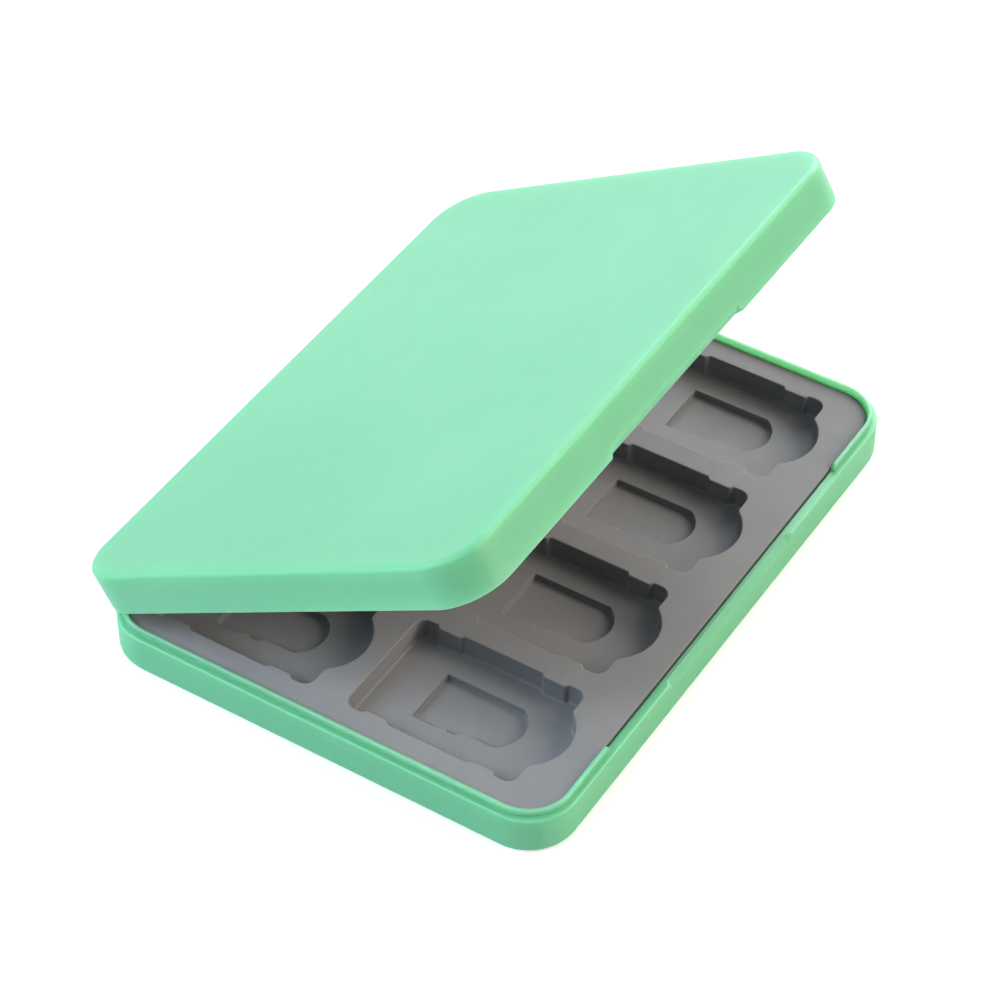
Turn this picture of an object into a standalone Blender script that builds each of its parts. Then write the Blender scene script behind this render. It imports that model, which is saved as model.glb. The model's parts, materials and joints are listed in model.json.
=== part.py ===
"""Hinged case for game cards, in metres, +Z up.

Two moulded shells close on each other and turn on two steel pins behind the
long back wall. Each shell holds a soft tray with a pocket for each card, and a
smaller recess for a memory chip in the floor of every pocket. The case opens
at the front, -Y, and its width lies along X. The base stands on Z = 0 with the
middle of its underside at the origin, and the lid stands partly open.

Sizes are in millimetres and the meshes in metres. Outlines are drawn in the
closed case, and the lid turns with its pivot.
"""

import math

import bmesh
import bpy
from mathutils import Matrix, Vector

MM = 0.001

# What the case holds
CARD_LENGTH = 31.1
CARD_WIDTH = 21.4
CHIP_LENGTH = 15.0
CHIP_WIDTH = 11.0
CHIP_NECK = 9.7

# Pockets for the cards
ROWS = 4
COLUMNS = 2
CARD_END_GAP = 1.0
CARD_SIDE_GAP = 0.3
RIB_HEIGHT = 0.7
RIB_LENGTH = 5.1
RIB_SLOPE = 0.35
RIB_ROUND = 0.45
EAR_LENGTH = 3.6
EAR_ROUND = 2.0
FINGER_WIDTH = 14.6
FINGER_REACH = 3.5
FINGER_STEP = 0.3
FINGER_BLEND = 1.0
BASE_POCKET_DEPTH = 4.2
LID_POCKET_DEPTH = 3.6

# Recess for a chip in the floor of each pocket
CHIP_GAP = 0.1
CHIP_START = 8.9
CHIP_SHIFT = 0.7
CHIP_THUMB = 2.9
CHIP_HEEL = 5.4
CHIP_NUB_LENGTH = 1.3
CHIP_NUB_DEPTH = 0.65
CHIP_NUB_LIP = 0.33
CHIP_SHOULDER = 1.3
BASE_CHIP_DEPTH = 1.35
LID_CHIP_DEPTH = 1.1

# Trays
ROW_WEB = 4.6
COLUMN_WEB = 7.1
SIDE_MARGIN = 4.5
HINGE_MARGIN = 4.65
FRONT_MARGIN = 8.55
TRAY_GAP = 0.25
TRAY_SEAT_GAP = 0.25
TRAY_EDGE_ROUND = 0.3
BASE_TRAY_SKIN = 0.95
LID_TRAY_SKIN = 0.65
TRAY_PROUD = 0.25

# Shells
WALL = 1.85
FLOOR = 1.5
CORNER_RADIUS = 9.2
EDGE_ROUND = 1.4
RIM_ROUND = 0.3
LEDGE = 1.1
LIP_HEIGHT = 1.35
LIP_ROUND = 0.2
LIP_OPENING = 78.0
LIP_SIDE_GAP = 0.2
LIP_TOP_GAP = 0.25
LID_TRAY_RECESS = 1.3
PARTING_GAP = 0.1

# Thumb grip, a bevel on both shells at the middle of the front
THUMB_LENGTH = 42.4
THUMB_RUN_OUT = 1.2
SCOOP_HEIGHT = 1.65
BASE_SCOOP_DEPTH = 1.0
LID_SCOOP_DEPTH = 1.25

# Hinges
HINGE_SPACING = 60.0
PIN_DIAMETER = 1.2
PIN_GAP = 0.08
PIN_END = 0.4
KNUCKLE_WALL = 0.72
SIDE_KNUCKLE = 6.0
MIDDLE_KNUCKLE = 12.0
KNUCKLE_GAP = 0.3
HINGE_GAP = 0.2
WEB_ANGLE = 65.0
WEB_DROP = 0.1
LID_OPEN_ANGLE = 29.85

# Magnets that hold the lid down
MAGNET_DIAMETER = 4.0
MAGNET_HEIGHT = 2.0
MAGNET_GAP = 0.15
POST_WALL = 0.65
POST_GAP = 0.3
MAGNET_SKIN = 0.8

# How finely curved edges are drawn
CORNER_STEPS = 8
REBATE_STEPS = 5
SMALL_STEPS = 3
FINGER_STEPS = 10
BLEND_STEPS = 4
ROUND_STEPS = 3
KNUCKLE_STEPS = 18
PIN_SIDES = 20
POST_SIDES = 24
OVERSHOOT = 2.0
SEAT_DEPTH = 0.5

# Plan of the case, worked out from its cards
pocket_length = CARD_LENGTH + 2 * CARD_END_GAP
pocket_width = CARD_WIDTH + 2 * (CARD_SIDE_GAP + RIB_HEIGHT)
row_pitch = pocket_width + ROW_WEB
column_pitch = pocket_length + COLUMN_WEB
tray_width = ROWS * row_pitch - ROW_WEB + 2 * SIDE_MARGIN
tray_depth = COLUMNS * column_pitch - COLUMN_WEB + HINGE_MARGIN + FRONT_MARGIN
case_width = tray_width + 2 * (TRAY_GAP + WALL)
case_depth = tray_depth + 2 * (TRAY_GAP + WALL)
back_y = case_depth / 2
front_y = -case_depth / 2

# Heights in the closed case
base_tray_low = FLOOR + TRAY_SEAT_GAP
base_tray_top = base_tray_low + BASE_TRAY_SKIN + BASE_CHIP_DEPTH + BASE_POCKET_DEPTH
ledge_z = base_tray_top - TRAY_PROUD
lip_top = ledge_z + LIP_HEIGHT
lid_rim_z = ledge_z + PARTING_GAP
rebate_z = lip_top + LIP_TOP_GAP
lid_tray_low = lid_rim_z + LID_TRAY_RECESS
lid_tray_top = lid_tray_low + LID_POCKET_DEPTH + LID_CHIP_DEPTH + LID_TRAY_SKIN
lid_inner_z = lid_tray_top + TRAY_SEAT_GAP
case_top = lid_inner_z + FLOOR

# Hinge line
pin_radius = PIN_DIAMETER / 2
bore_radius = pin_radius + PIN_GAP
knuckle_radius = bore_radius + KNUCKLE_WALL
axis_y = back_y + knuckle_radius + HINGE_GAP
axis_z = case_top / 2
hinge_length = 2 * SIDE_KNUCKLE + MIDDLE_KNUCKLE + 2 * KNUCKLE_GAP

# Magnet posts, between the finger arcs of the front pockets
magnet_radius = MAGNET_DIAMETER / 2
post_radius = magnet_radius + MAGNET_GAP + POST_WALL
post_hole_radius = post_radius + POST_GAP
post_y = front_y + WALL + TRAY_GAP + FRONT_MARGIN / 2
post_x = row_pitch * ROWS / 4
base_post_top = base_tray_top - MAGNET_SKIN - POST_GAP
lid_post_low = lid_tray_low + MAGNET_SKIN + POST_GAP


for old_object in list(bpy.data.objects):
    bpy.data.objects.remove(old_object, do_unlink=True)

case = bpy.data.collections.new("game_card_case")
cutters = bpy.data.collections.new("cutters")
bpy.context.scene.collection.children.link(case)
bpy.context.scene.collection.children.link(cutters)


def material(name, colour, roughness, metallic=0.0):
    """A plain material with one colour."""
    made = bpy.data.materials.new(name)
    made.use_nodes = True
    shader = made.node_tree.nodes["Principled BSDF"]
    shader.inputs["Base Color"].default_value = (*colour, 1.0)
    shader.inputs["Roughness"].default_value = roughness
    shader.inputs["Metallic"].default_value = metallic
    made.diffuse_color = (*colour, 1.0)
    return made


# Outlines

def arc(centre, radius, start, end, steps):
    """Points on an arc, from one angle in degrees to another."""
    points = []
    for step in range(steps + 1):
        angle = math.radians(start + (end - start) * step / steps)
        points.append((centre[0] + radius * math.cos(angle),
                       centre[1] + radius * math.sin(angle)))
    return points


def rounded_corner(before, corner, after, radius, steps):
    """Points that round one corner of an outline."""
    corner = Vector(corner)
    toward_before = (Vector(before) - corner).normalized()
    toward_after = (Vector(after) - corner).normalized()
    half_angle = toward_before.angle(toward_after) / 2
    bisector = (toward_before + toward_after).normalized()
    centre = corner + bisector * (radius / math.sin(half_angle))
    first = corner + toward_before * (radius / math.tan(half_angle)) - centre
    last = corner + toward_after * (radius / math.tan(half_angle)) - centre
    start = math.degrees(math.atan2(first.y, first.x))
    turn = (math.degrees(math.atan2(last.y, last.x)) - start + 180) % 360 - 180
    return arc(centre, radius, start, start + turn, steps)


def rounded_outline(corners, steps):
    """A closed outline from (x, y, radius) corners; a radius of 0 stays sharp."""
    points = []
    count = len(corners)
    for index, (x, y, radius) in enumerate(corners):
        if radius == 0:
            points.append((x, y))
            continue
        before = corners[index - 1][:2]
        after = corners[(index + 1) % count][:2]
        points += rounded_corner(before, (x, y), after, radius, steps)
    return points


def case_outline(inset, steps=CORNER_STEPS):
    """The plan of the case, drawn in by an inset, from the front right corner."""
    x = case_width / 2 - inset
    y = case_depth / 2 - inset
    radius = CORNER_RADIUS - inset
    corners = [(x, -y, radius), (x, y, radius), (-x, y, radius), (-x, -y, radius)]
    return rounded_outline(corners, steps)


def band_outline(outer, inner, opening, inner_steps=CORNER_STEPS):
    """A band between two insets, with round ends beside an opening at the
    middle of the front."""
    end_round = (inner - outer) / 2
    end_x = opening / 2 + end_round
    end_y = front_y + outer + end_round
    left_end = arc((-end_x, end_y), end_round, -90, 90, 2 * SMALL_STEPS)
    right_end = arc((end_x, end_y), end_round, 90, 270, 2 * SMALL_STEPS)
    return case_outline(outer) + left_end + case_outline(inner, inner_steps)[::-1] + right_end


def pocket_outline(back, row_x):
    """One card pocket, with two grip ribs along each side. It runs from its
    back towards the front of the case."""
    half = pocket_width / 2
    rib = half - RIB_HEIGHT
    front = back - pocket_length
    right = [(half, back, EAR_ROUND)]
    for near in (back - EAR_LENGTH, front + EAR_LENGTH + RIB_LENGTH):
        far = near - RIB_LENGTH
        right += [(half, near, RIB_ROUND), (rib, near - RIB_SLOPE, RIB_ROUND),
                  (rib, far + RIB_SLOPE, RIB_ROUND), (half, far, RIB_ROUND)]
    right.append((half, front, EAR_ROUND))
    left = [(-x, y, radius) for x, y, radius in right[::-1]]
    corners = [(row_x + x, y, radius) for x, y, radius in right + left]
    return rounded_outline(corners, SMALL_STEPS)


def finger_outline(back, row_x):
    """An arc that opens the front wall of a pocket for a fingertip, and runs
    out into the wall on both sides."""
    front = back - pocket_length
    radius = ((FINGER_WIDTH / 2) ** 2 + FINGER_REACH ** 2) / (2 * FINGER_REACH)
    rise = radius - FINGER_REACH
    side = math.sqrt((radius + FINGER_BLEND) ** 2 - (rise + FINGER_BLEND) ** 2)
    meet = math.degrees(math.atan2(rise + FINGER_BLEND, side))
    right = arc((side, front - FINGER_BLEND), FINGER_BLEND, 90, 180 - meet, BLEND_STEPS)
    bow = arc((0, front + rise), radius, -meet, meet - 180, FINGER_STEPS)[1:-1]
    left = [(-x, y) for x, y in right[::-1]]
    inside = [(-side, front + FINGER_REACH), (side, front + FINGER_REACH)]
    return [(row_x + x, y) for x, y in inside + right + bow + left]


def chip_outline(back, row_x):
    """One chip recess: square at the back, a step with a nub along one side,
    and a round end for a fingernail at the front."""
    start = back - CHIP_START
    wide = CHIP_WIDTH / 2 + CHIP_GAP
    step = wide - (CHIP_WIDTH - CHIP_NECK)
    end = start - CHIP_LENGTH - 2 * CHIP_GAP
    half_end = (wide + step) / 2
    middle = (wide - step) / 2
    radius = (half_end ** 2 + CHIP_THUMB ** 2) / (2 * CHIP_THUMB)
    sweep = math.degrees(math.asin(half_end / radius))
    heel = start - CHIP_HEEL
    nub = heel - CHIP_NUB_LENGTH
    shoulder = nub - CHIP_SHOULDER
    points = [(-wide, start), (wide, start)]
    points += arc((middle, end - CHIP_THUMB + radius), radius, -90 + sweep, -90 - sweep, FINGER_STEPS)
    points += [(-step, shoulder - CHIP_SHOULDER), (-wide + CHIP_NUB_LIP, shoulder),
               (-wide + CHIP_NUB_LIP, nub), (-wide + CHIP_NUB_DEPTH, nub),
               (-wide + CHIP_NUB_DEPTH, heel), (-wide, heel)]
    return [(row_x + CHIP_SHIFT + x, y) for x, y in points]


def pocket_places():
    """Back edge and middle of every pocket."""
    first_back = back_y - WALL - TRAY_GAP - HINGE_MARGIN
    places = []
    for column in range(COLUMNS):
        for row in range(ROWS):
            row_x = (row - (ROWS - 1) / 2) * row_pitch
            places.append((first_back - column * column_pitch, row_x))
    return places


# Solids

def to_mesh(name, curve_object):
    """The closed mesh of a filled, extruded outline."""
    bpy.context.view_layer.update()
    evaluated = curve_object.evaluated_get(bpy.context.evaluated_depsgraph_get())
    mesh = bpy.data.meshes.new_from_object(evaluated)
    mesh.name = name
    mesh.transform(curve_object.matrix_world)
    shape = bmesh.new()
    shape.from_mesh(mesh)
    bmesh.ops.remove_doubles(shape, verts=shape.verts, dist=0.0005 * MM)
    bmesh.ops.dissolve_degenerate(shape, dist=0.0005 * MM, edges=shape.edges)
    bmesh.ops.recalc_face_normals(shape, faces=shape.faces)
    shape.to_mesh(mesh)
    shape.free()
    mesh.materials.clear()
    bpy.data.objects.remove(curve_object)
    return mesh


def prism(name, outlines, low, high, along="Z"):
    """Flat outlines extruded between two places on an axis. Along Z an outline
    is (x, y), and along X it is (y, z)."""
    turns = {"X": Matrix(((0, 0, 1), (1, 0, 0), (0, 1, 0))), "Z": Matrix.Identity(3)}
    curve = bpy.data.curves.new(name, "CURVE")
    curve.dimensions = "2D"
    curve.fill_mode = "BOTH"
    curve.extrude = (high - low) / 2 * MM
    for outline in outlines:
        spline = curve.splines.new("POLY")
        spline.points.add(len(outline) - 1)
        for point, (first, second) in zip(spline.points, outline):
            point.co = (first * MM, second * MM, 0, 1)
        spline.use_cyclic_u = True
    flat = bpy.data.objects.new(name, curve)
    cutters.objects.link(flat)
    turn = turns[along].to_4x4()
    flat.matrix_world = turn @ Matrix.Translation((0, 0, (low + high) / 2 * MM))
    return to_mesh(name, flat)


def rods(name, radius, places, sides):
    """Round rods in one mesh; a place is (low point, high point)."""
    shape = bmesh.new()
    for low, high in places:
        low = Vector(low)
        high = Vector(high)
        run = high - low
        turn = Vector((0, 0, 1)).rotation_difference(run).to_matrix().to_4x4()
        place = Matrix.Translation((low + high) / 2 * MM) @ turn
        bmesh.ops.create_cone(shape, cap_ends=True, segments=sides, radius1=radius * MM,
                              radius2=radius * MM, depth=run.length * MM, matrix=place)
    mesh = bpy.data.meshes.new(name)
    shape.to_mesh(mesh)
    shape.free()
    return mesh


def together(name, meshes):
    """Several separate solids in one mesh."""
    shape = bmesh.new()
    for mesh in meshes:
        shape.from_mesh(mesh)
        bpy.data.meshes.remove(mesh)
    joined = bpy.data.meshes.new(name)
    shape.to_mesh(joined)
    shape.free()
    return joined


def part(mesh, finish):
    """An object of the case with its material, shaded smooth over its curves."""
    made = bpy.data.objects.new(mesh.name, mesh)
    mesh.materials.append(finish)
    mesh.shade_smooth()
    mesh.set_sharp_from_angle(angle=math.radians(35))
    case.objects.link(made)
    return made


def cutter(mesh):
    """A helper solid that is left out of the finished case."""
    made = bpy.data.objects.new(mesh.name, mesh)
    made.hide_render = True
    made.display_type = "WIRE"
    cutters.objects.link(made)
    return made


def round_edges(target, heights, width):
    """Rounds the level edges of a prism. Heights are (z, share of the width)."""
    mesh = target.data
    shape = bmesh.new()
    shape.from_mesh(mesh)
    bmesh.ops.dissolve_limit(shape, angle_limit=math.radians(0.05), verts=shape.verts, edges=shape.edges)
    shape.to_mesh(mesh)
    shape.free()
    weights = mesh.attributes.new("bevel_weight_edge", "FLOAT", "EDGE")
    for edge in mesh.edges:
        ends = [mesh.vertices[index].co.z for index in edge.vertices]
        for height, share in heights:
            if all(abs(end - height * MM) < 0.001 * MM for end in ends):
                weights.data[edge.index].value = share
    bevel = target.modifiers.new("edge rounding", "BEVEL")
    bevel.limit_method = "WEIGHT"
    bevel.width = width * MM
    bevel.segments = ROUND_STEPS
    bevel.use_clamp_overlap = False


def combine(target, tool, operation):
    """Joins a helper solid to a part, or cuts it out."""
    boolean = target.modifiers.new(tool.name, "BOOLEAN")
    boolean.operation = operation
    boolean.solver = "EXACT"
    boolean.object = tool


# Shells

def knuckle_outline(side):
    """A hinge knuckle and its web to the wall, below the hinge line for the
    base (side -1) and above it for the lid (side 1), as (y, z)."""
    web_height = PARTING_GAP / 2 + RIM_ROUND + WEB_DROP
    wall_reach = axis_y - back_y + SEAT_DEPTH
    first = -math.degrees(math.asin(web_height / knuckle_radius))
    last = 180 + WEB_ANGLE
    points = [(wall_reach, -web_height)]
    points += arc((0, 0), knuckle_radius, first, last, KNUCKLE_STEPS)
    tangent = math.radians(last)
    run = (wall_reach - knuckle_radius * math.cos(tangent)) / -math.sin(tangent)
    points.append((wall_reach, knuckle_radius * math.sin(tangent) + run * math.cos(tangent)))
    return [(axis_y - reach, axis_z - side * height) for reach, height in points]


def hinge_middles():
    """The middle of each hinge along X."""
    return (-HINGE_SPACING / 2, HINGE_SPACING / 2)


def knuckles(name, side):
    """Outer knuckles on the base, the middle knuckle on the lid."""
    outline = knuckle_outline(side)
    meshes = []
    for middle in hinge_middles():
        start = middle - hinge_length / 2
        if side < 0:
            spans = [(start, start + SIDE_KNUCKLE),
                     (start + hinge_length - SIDE_KNUCKLE, start + hinge_length)]
        else:
            inner = start + SIDE_KNUCKLE + KNUCKLE_GAP
            spans = [(inner, inner + MIDDLE_KNUCKLE)]
        meshes += [prism(name, [outline], low, high, "X") for low, high in spans]
    return cutter(together(name, meshes))


def bores(name):
    """The holes for the hinge pins, right through their knuckles."""
    places = []
    for middle in hinge_middles():
        reach = hinge_length / 2 + OVERSHOOT
        places.append(((middle - reach, axis_y, axis_z), (middle + reach, axis_y, axis_z)))
    return cutter(rods(name, bore_radius, places, PIN_SIDES))


def magnet_rods(name, radius, low, high):
    """A rod at the place of each magnet, between two heights."""
    places = [((x, post_y, low), (x, post_y, high)) for x in (-post_x, post_x)]
    return cutter(rods(name, radius, places, POST_SIDES))


def make_base_shell(finish):
    """Floor, walls and the lip that the lid closes over."""
    shell = part(prism("base_shell", [case_outline(0)], 0, ledge_z), finish)
    round_edges(shell, [(0, 1.0), (ledge_z, RIM_ROUND / EDGE_ROUND)], EDGE_ROUND)

    hollow = cutter(prism("base_hollow", [case_outline(WALL)], FLOOR, ledge_z + OVERSHOOT))
    combine(shell, hollow, "DIFFERENCE")
    outline = band_outline(LEDGE, WALL, LIP_OPENING)
    lip = cutter(prism("base_lip", [outline], ledge_z - SEAT_DEPTH, lip_top))
    round_edges(lip, [(lip_top, 1.0)], LIP_ROUND)
    combine(shell, lip, "UNION")

    combine(shell, scoop("base_scoop", ledge_z, BASE_SCOOP_DEPTH, -1), "DIFFERENCE")
    combine(shell, knuckles("base_knuckles", -1), "UNION")
    combine(shell, bores("base_bores"), "DIFFERENCE")
    posts = magnet_rods("base_posts", post_radius, FLOOR - SEAT_DEPTH, base_post_top)
    combine(shell, posts, "UNION")
    pocket_low = base_post_top - MAGNET_HEIGHT - 2 * MAGNET_GAP
    pockets = magnet_rods("base_magnet_pockets", magnet_radius + MAGNET_GAP,
                          pocket_low, base_post_top + OVERSHOOT)
    combine(shell, pockets, "DIFFERENCE")
    return shell


def scoop(name, rim_z, depth, side):
    """A bevel along the middle of a shell's front edge, with sloped ends. It
    goes down from the rim of the base (side -1) and up from the lid's (side 1)."""
    slope = math.atan2(SCOOP_HEIGHT, depth)
    reach_y = OVERSHOOT * math.cos(slope)
    reach_z = OVERSHOOT * math.sin(slope)
    section = [(front_y - reach_y, SCOOP_HEIGHT + reach_z), (front_y + depth + reach_y, -reach_z),
               (front_y - reach_y, -reach_z)]
    shape = bmesh.new()
    rings = []
    for sign in (-1, 1):
        ring = []
        for y, into in section:
            x = sign * (THUMB_LENGTH / 2 - THUMB_RUN_OUT * into / SCOOP_HEIGHT)
            ring.append(shape.verts.new((x * MM, y * MM, (rim_z + side * into) * MM)))
        rings.append(ring)
    first, second = rings
    shape.faces.new(first)
    shape.faces.new(second[::-1])
    for index in range(len(section)):
        after = (index + 1) % len(section)
        shape.faces.new((first[index], second[index], second[after], first[after]))
    bmesh.ops.recalc_face_normals(shape, faces=shape.faces)
    mesh = bpy.data.meshes.new(name)
    shape.to_mesh(mesh)
    shape.free()
    return cutter(mesh)


def make_lid_shell(finish):
    """The cover, thinned at its rim where the base's lip goes up inside it,
    and as thick as the base's wall beside the thumb grip."""
    shell = part(prism("lid_shell", [case_outline(0)], lid_rim_z, case_top), finish)
    round_edges(shell, [(case_top, 1.0), (lid_rim_z, RIM_ROUND / EDGE_ROUND)], EDGE_ROUND)

    low = lid_rim_z - OVERSHOOT
    hollow = cutter(prism("lid_hollow", [case_outline(WALL)], low, lid_inner_z))
    combine(shell, hollow, "DIFFERENCE")
    # The rebate's cutter ends inside the hollow. Its inner corners have steps of
    # their own, so that none of its edges meets a corner of the hollow.
    opening = LIP_OPENING - 2 * (LIP_SIDE_GAP + SEAT_DEPTH)
    outline = band_outline(LEDGE - LIP_SIDE_GAP, WALL + SEAT_DEPTH, opening, REBATE_STEPS)
    rebate = cutter(prism("lid_rebate", [outline], low, rebate_z))
    combine(shell, rebate, "DIFFERENCE")
    combine(shell, scoop("lid_scoop", lid_rim_z, LID_SCOOP_DEPTH, 1), "DIFFERENCE")

    combine(shell, knuckles("lid_knuckles", 1), "UNION")
    combine(shell, bores("lid_bores"), "DIFFERENCE")
    posts = magnet_rods("lid_posts", post_radius, lid_post_low, lid_inner_z + SEAT_DEPTH)
    combine(shell, posts, "UNION")
    pocket_high = lid_post_low + MAGNET_HEIGHT + 2 * MAGNET_GAP
    pockets = magnet_rods("lid_magnet_pockets", magnet_radius + MAGNET_GAP,
                          lid_post_low - OVERSHOOT, pocket_high)
    combine(shell, pockets, "DIFFERENCE")
    return shell


# Trays

def make_tray(name, low, high, face, pocket_depth, chip_depth, post_end, finish):
    """A soft tray with its pockets. The face is the height of its open side,
    and post_end is how far the magnet posts reach into it."""
    tray = part(prism(name, [case_outline(WALL + TRAY_GAP)], low, high), finish)
    round_edges(tray, [(face, 1.0)], TRAY_EDGE_ROUND)
    inward = -1 if face == high else 1
    places = pocket_places()

    floor = face + inward * pocket_depth
    outside = face - inward * OVERSHOOT
    outlines = [pocket_outline(back, row_x) for back, row_x in places]
    span = sorted((floor, outside))
    combine(tray, cutter(prism(name + "_pockets", outlines, *span)), "DIFFERENCE")
    outlines = [finger_outline(back, row_x) for back, row_x in places]
    span = sorted((floor - inward * FINGER_STEP, outside))
    combine(tray, cutter(prism(name + "_finger_cuts", outlines, *span)), "DIFFERENCE")

    chip_floor = floor + inward * chip_depth
    outlines = [chip_outline(back, row_x) for back, row_x in places]
    span = sorted((chip_floor, floor - inward * pocket_depth / 2))
    combine(tray, cutter(prism(name + "_chips", outlines, *span)), "DIFFERENCE")

    back_side = low if face == high else high
    span = sorted((back_side + inward * OVERSHOOT, post_end - inward * POST_GAP))
    combine(tray, magnet_rods(name + "_post_holes", post_hole_radius, *span), "DIFFERENCE")
    return tray


# Small pieces

def make_pins(finish):
    """Steel pins, held in the base's knuckles."""
    names = ("hinge_pin_left", "hinge_pin_right")
    reach = hinge_length / 2 - PIN_END
    for name, middle in zip(names, hinge_middles()):
        place = [((middle - reach, axis_y, axis_z), (middle + reach, axis_y, axis_z))]
        part(rods(name, pin_radius, place, PIN_SIDES), finish)


def make_magnets(prefix, low, finish):
    """A pair of round magnets that stand in their posts, low being their
    underside."""
    pieces = []
    for side, x in (("left", -post_x), ("right", post_x)):
        place = [((x, post_y, low), (x, post_y, low + MAGNET_HEIGHT))]
        pieces.append(part(rods(prefix + "_magnet_" + side, magnet_radius, place, POST_SIDES), finish))
    return pieces


shell_finish = (0.155, 0.62, 0.36)
make_base_shell(material("base_plastic", shell_finish, 0.42))
lid_pieces = [make_lid_shell(material("lid_plastic", shell_finish, 0.42))]

tray_finish = (0.26, 0.26, 0.265)
make_tray("base_tray", base_tray_low, base_tray_top, base_tray_top, BASE_POCKET_DEPTH,
          BASE_CHIP_DEPTH, base_post_top, material("base_silicone", tray_finish, 0.75))
lid_pieces.append(make_tray("lid_tray", lid_tray_low, lid_tray_top, lid_tray_low, LID_POCKET_DEPTH,
                            LID_CHIP_DEPTH, lid_post_low, material("lid_silicone", tray_finish, 0.75)))

make_pins(material("pin_steel", (0.55, 0.55, 0.56), 0.3, 1.0))
magnet_finish = material("magnet_nickel", (0.6, 0.6, 0.58), 0.28, 1.0)
make_magnets("base", base_post_top - MAGNET_GAP - MAGNET_HEIGHT, magnet_finish)
lid_pieces += make_magnets("lid", lid_post_low + MAGNET_GAP, magnet_finish)

# The lid turns about the hinge line with all that it carries, cutters too
pivot_place = Vector((0, axis_y, axis_z)) * MM
pivot = bpy.data.objects.new("lid_pivot", None)
pivot.location = pivot_place
pivot.rotation_euler.x = -math.radians(LID_OPEN_ANGLE)
case.objects.link(pivot)
lid_tools = {modifier.object for piece in lid_pieces for modifier in piece.modifiers
             if modifier.type == "BOOLEAN"}
for moving in lid_pieces + sorted(lid_tools, key=lambda tool: tool.name):
    moving.data.transform(Matrix.Translation(-pivot_place))
    moving.parent = pivot
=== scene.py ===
"""Looks of a hinged case for game cards, partly open on a pale table.

Outlines are drawn in millimetres in the closed case, and the lid's pieces are
turned about the hinge line to the angle at which the lid stands.
"""

import json
import math

import bmesh
import bpy
from mathutils import Matrix, Vector


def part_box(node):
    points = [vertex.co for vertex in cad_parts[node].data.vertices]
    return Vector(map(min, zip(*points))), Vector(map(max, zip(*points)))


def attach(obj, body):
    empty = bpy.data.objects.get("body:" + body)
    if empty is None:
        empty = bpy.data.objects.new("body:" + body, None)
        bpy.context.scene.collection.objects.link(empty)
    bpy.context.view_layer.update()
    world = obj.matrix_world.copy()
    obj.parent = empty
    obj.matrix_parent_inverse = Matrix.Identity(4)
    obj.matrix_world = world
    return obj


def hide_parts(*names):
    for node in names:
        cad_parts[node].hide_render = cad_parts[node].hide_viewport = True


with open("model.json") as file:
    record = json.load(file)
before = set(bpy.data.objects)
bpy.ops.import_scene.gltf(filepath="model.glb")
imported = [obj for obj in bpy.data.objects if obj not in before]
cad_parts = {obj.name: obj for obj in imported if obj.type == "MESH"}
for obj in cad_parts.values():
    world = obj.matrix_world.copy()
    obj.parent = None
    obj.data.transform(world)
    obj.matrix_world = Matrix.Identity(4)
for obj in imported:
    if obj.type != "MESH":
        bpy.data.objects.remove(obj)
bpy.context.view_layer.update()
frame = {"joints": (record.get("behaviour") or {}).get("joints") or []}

# Base shell
# An injection moulded tub in mint green plastic. Its walls end in a ledge that
# the lid closes onto and a thin lip that goes up inside the lid. The lip stops
# beside the thumb grip, where the front edge is bevelled off.

MM = 0.001

shell_low, shell_high = (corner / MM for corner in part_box("base_shell"))
half_width = shell_high.x
half_depth = -shell_low.y

corner_radius = 9.2
wall = 1.85
floor_thickness = 1.5
ledge_z = 8.0
lip_inset = 1.1
lip_height = 1.35
lip_gap_half = 39.0
lip_end_rise = 0.7
thumb_half = 21.3
thumb_run = 1.2
scoop_depth = 1.0
scoop_height = 1.65

bottom_round = 1.4
rim_round = 0.35
lip_round = 0.2
lip_inner_round = 0.4
crease_round = 0.2
inside_round = 0.5

# The rim's two roundings meet, so the inner one is a hair smaller, and nothing
# shrinks quite away at the lip's ends, so that no two corners fall together.
rim_inner_round = 0.999 * rim_round
least_round = 0.001
least_lip = 0.003

corner_steps = 20
round_steps = 5
change_steps = 8
merge_reach = 0.0008
sharp_angle = 40
flat_face_weight = 60


def front_places(changes):
    """Places along X on the front wall, close together where it changes."""
    places = {0.0}
    for start, run in changes:
        for step in range(change_steps + 1):
            ease = math.sin(math.pi / 2 * step / change_steps)
            place = start + run * (1 - ease)
            places |= {place, -place}
    return sorted(places)


def corner_stations():
    """The four corners' middles, each with its outward ways from end to end."""
    half_x = half_width - corner_radius
    half_y = half_depth - corner_radius
    stations = []
    for x, y, start in ((half_x, -half_y, -90), (half_x, half_y, 0),
                        (-half_x, half_y, 90), (-half_x, -half_y, 180)):
        for step in range(corner_steps + 1):
            angle = math.radians(start + 90 * step / corner_steps)
            stations.append((x, y, math.cos(angle), math.sin(angle)))
    return stations


def plan_stations(changes):
    """The case's plan as points on an inner line, each with its outward way."""
    front_y = corner_radius - half_depth
    front = [(x, front_y, 0.0, -1.0) for x in front_places(changes)]
    return front + corner_stations()


def wall_place(station, inset, z):
    """A point in metres, at a height and an inset from the case's side."""
    x, y, out_x, out_y = station
    reach = corner_radius - inset
    return Vector((x + out_x * reach, y + out_y * reach, z)) * MM


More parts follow.
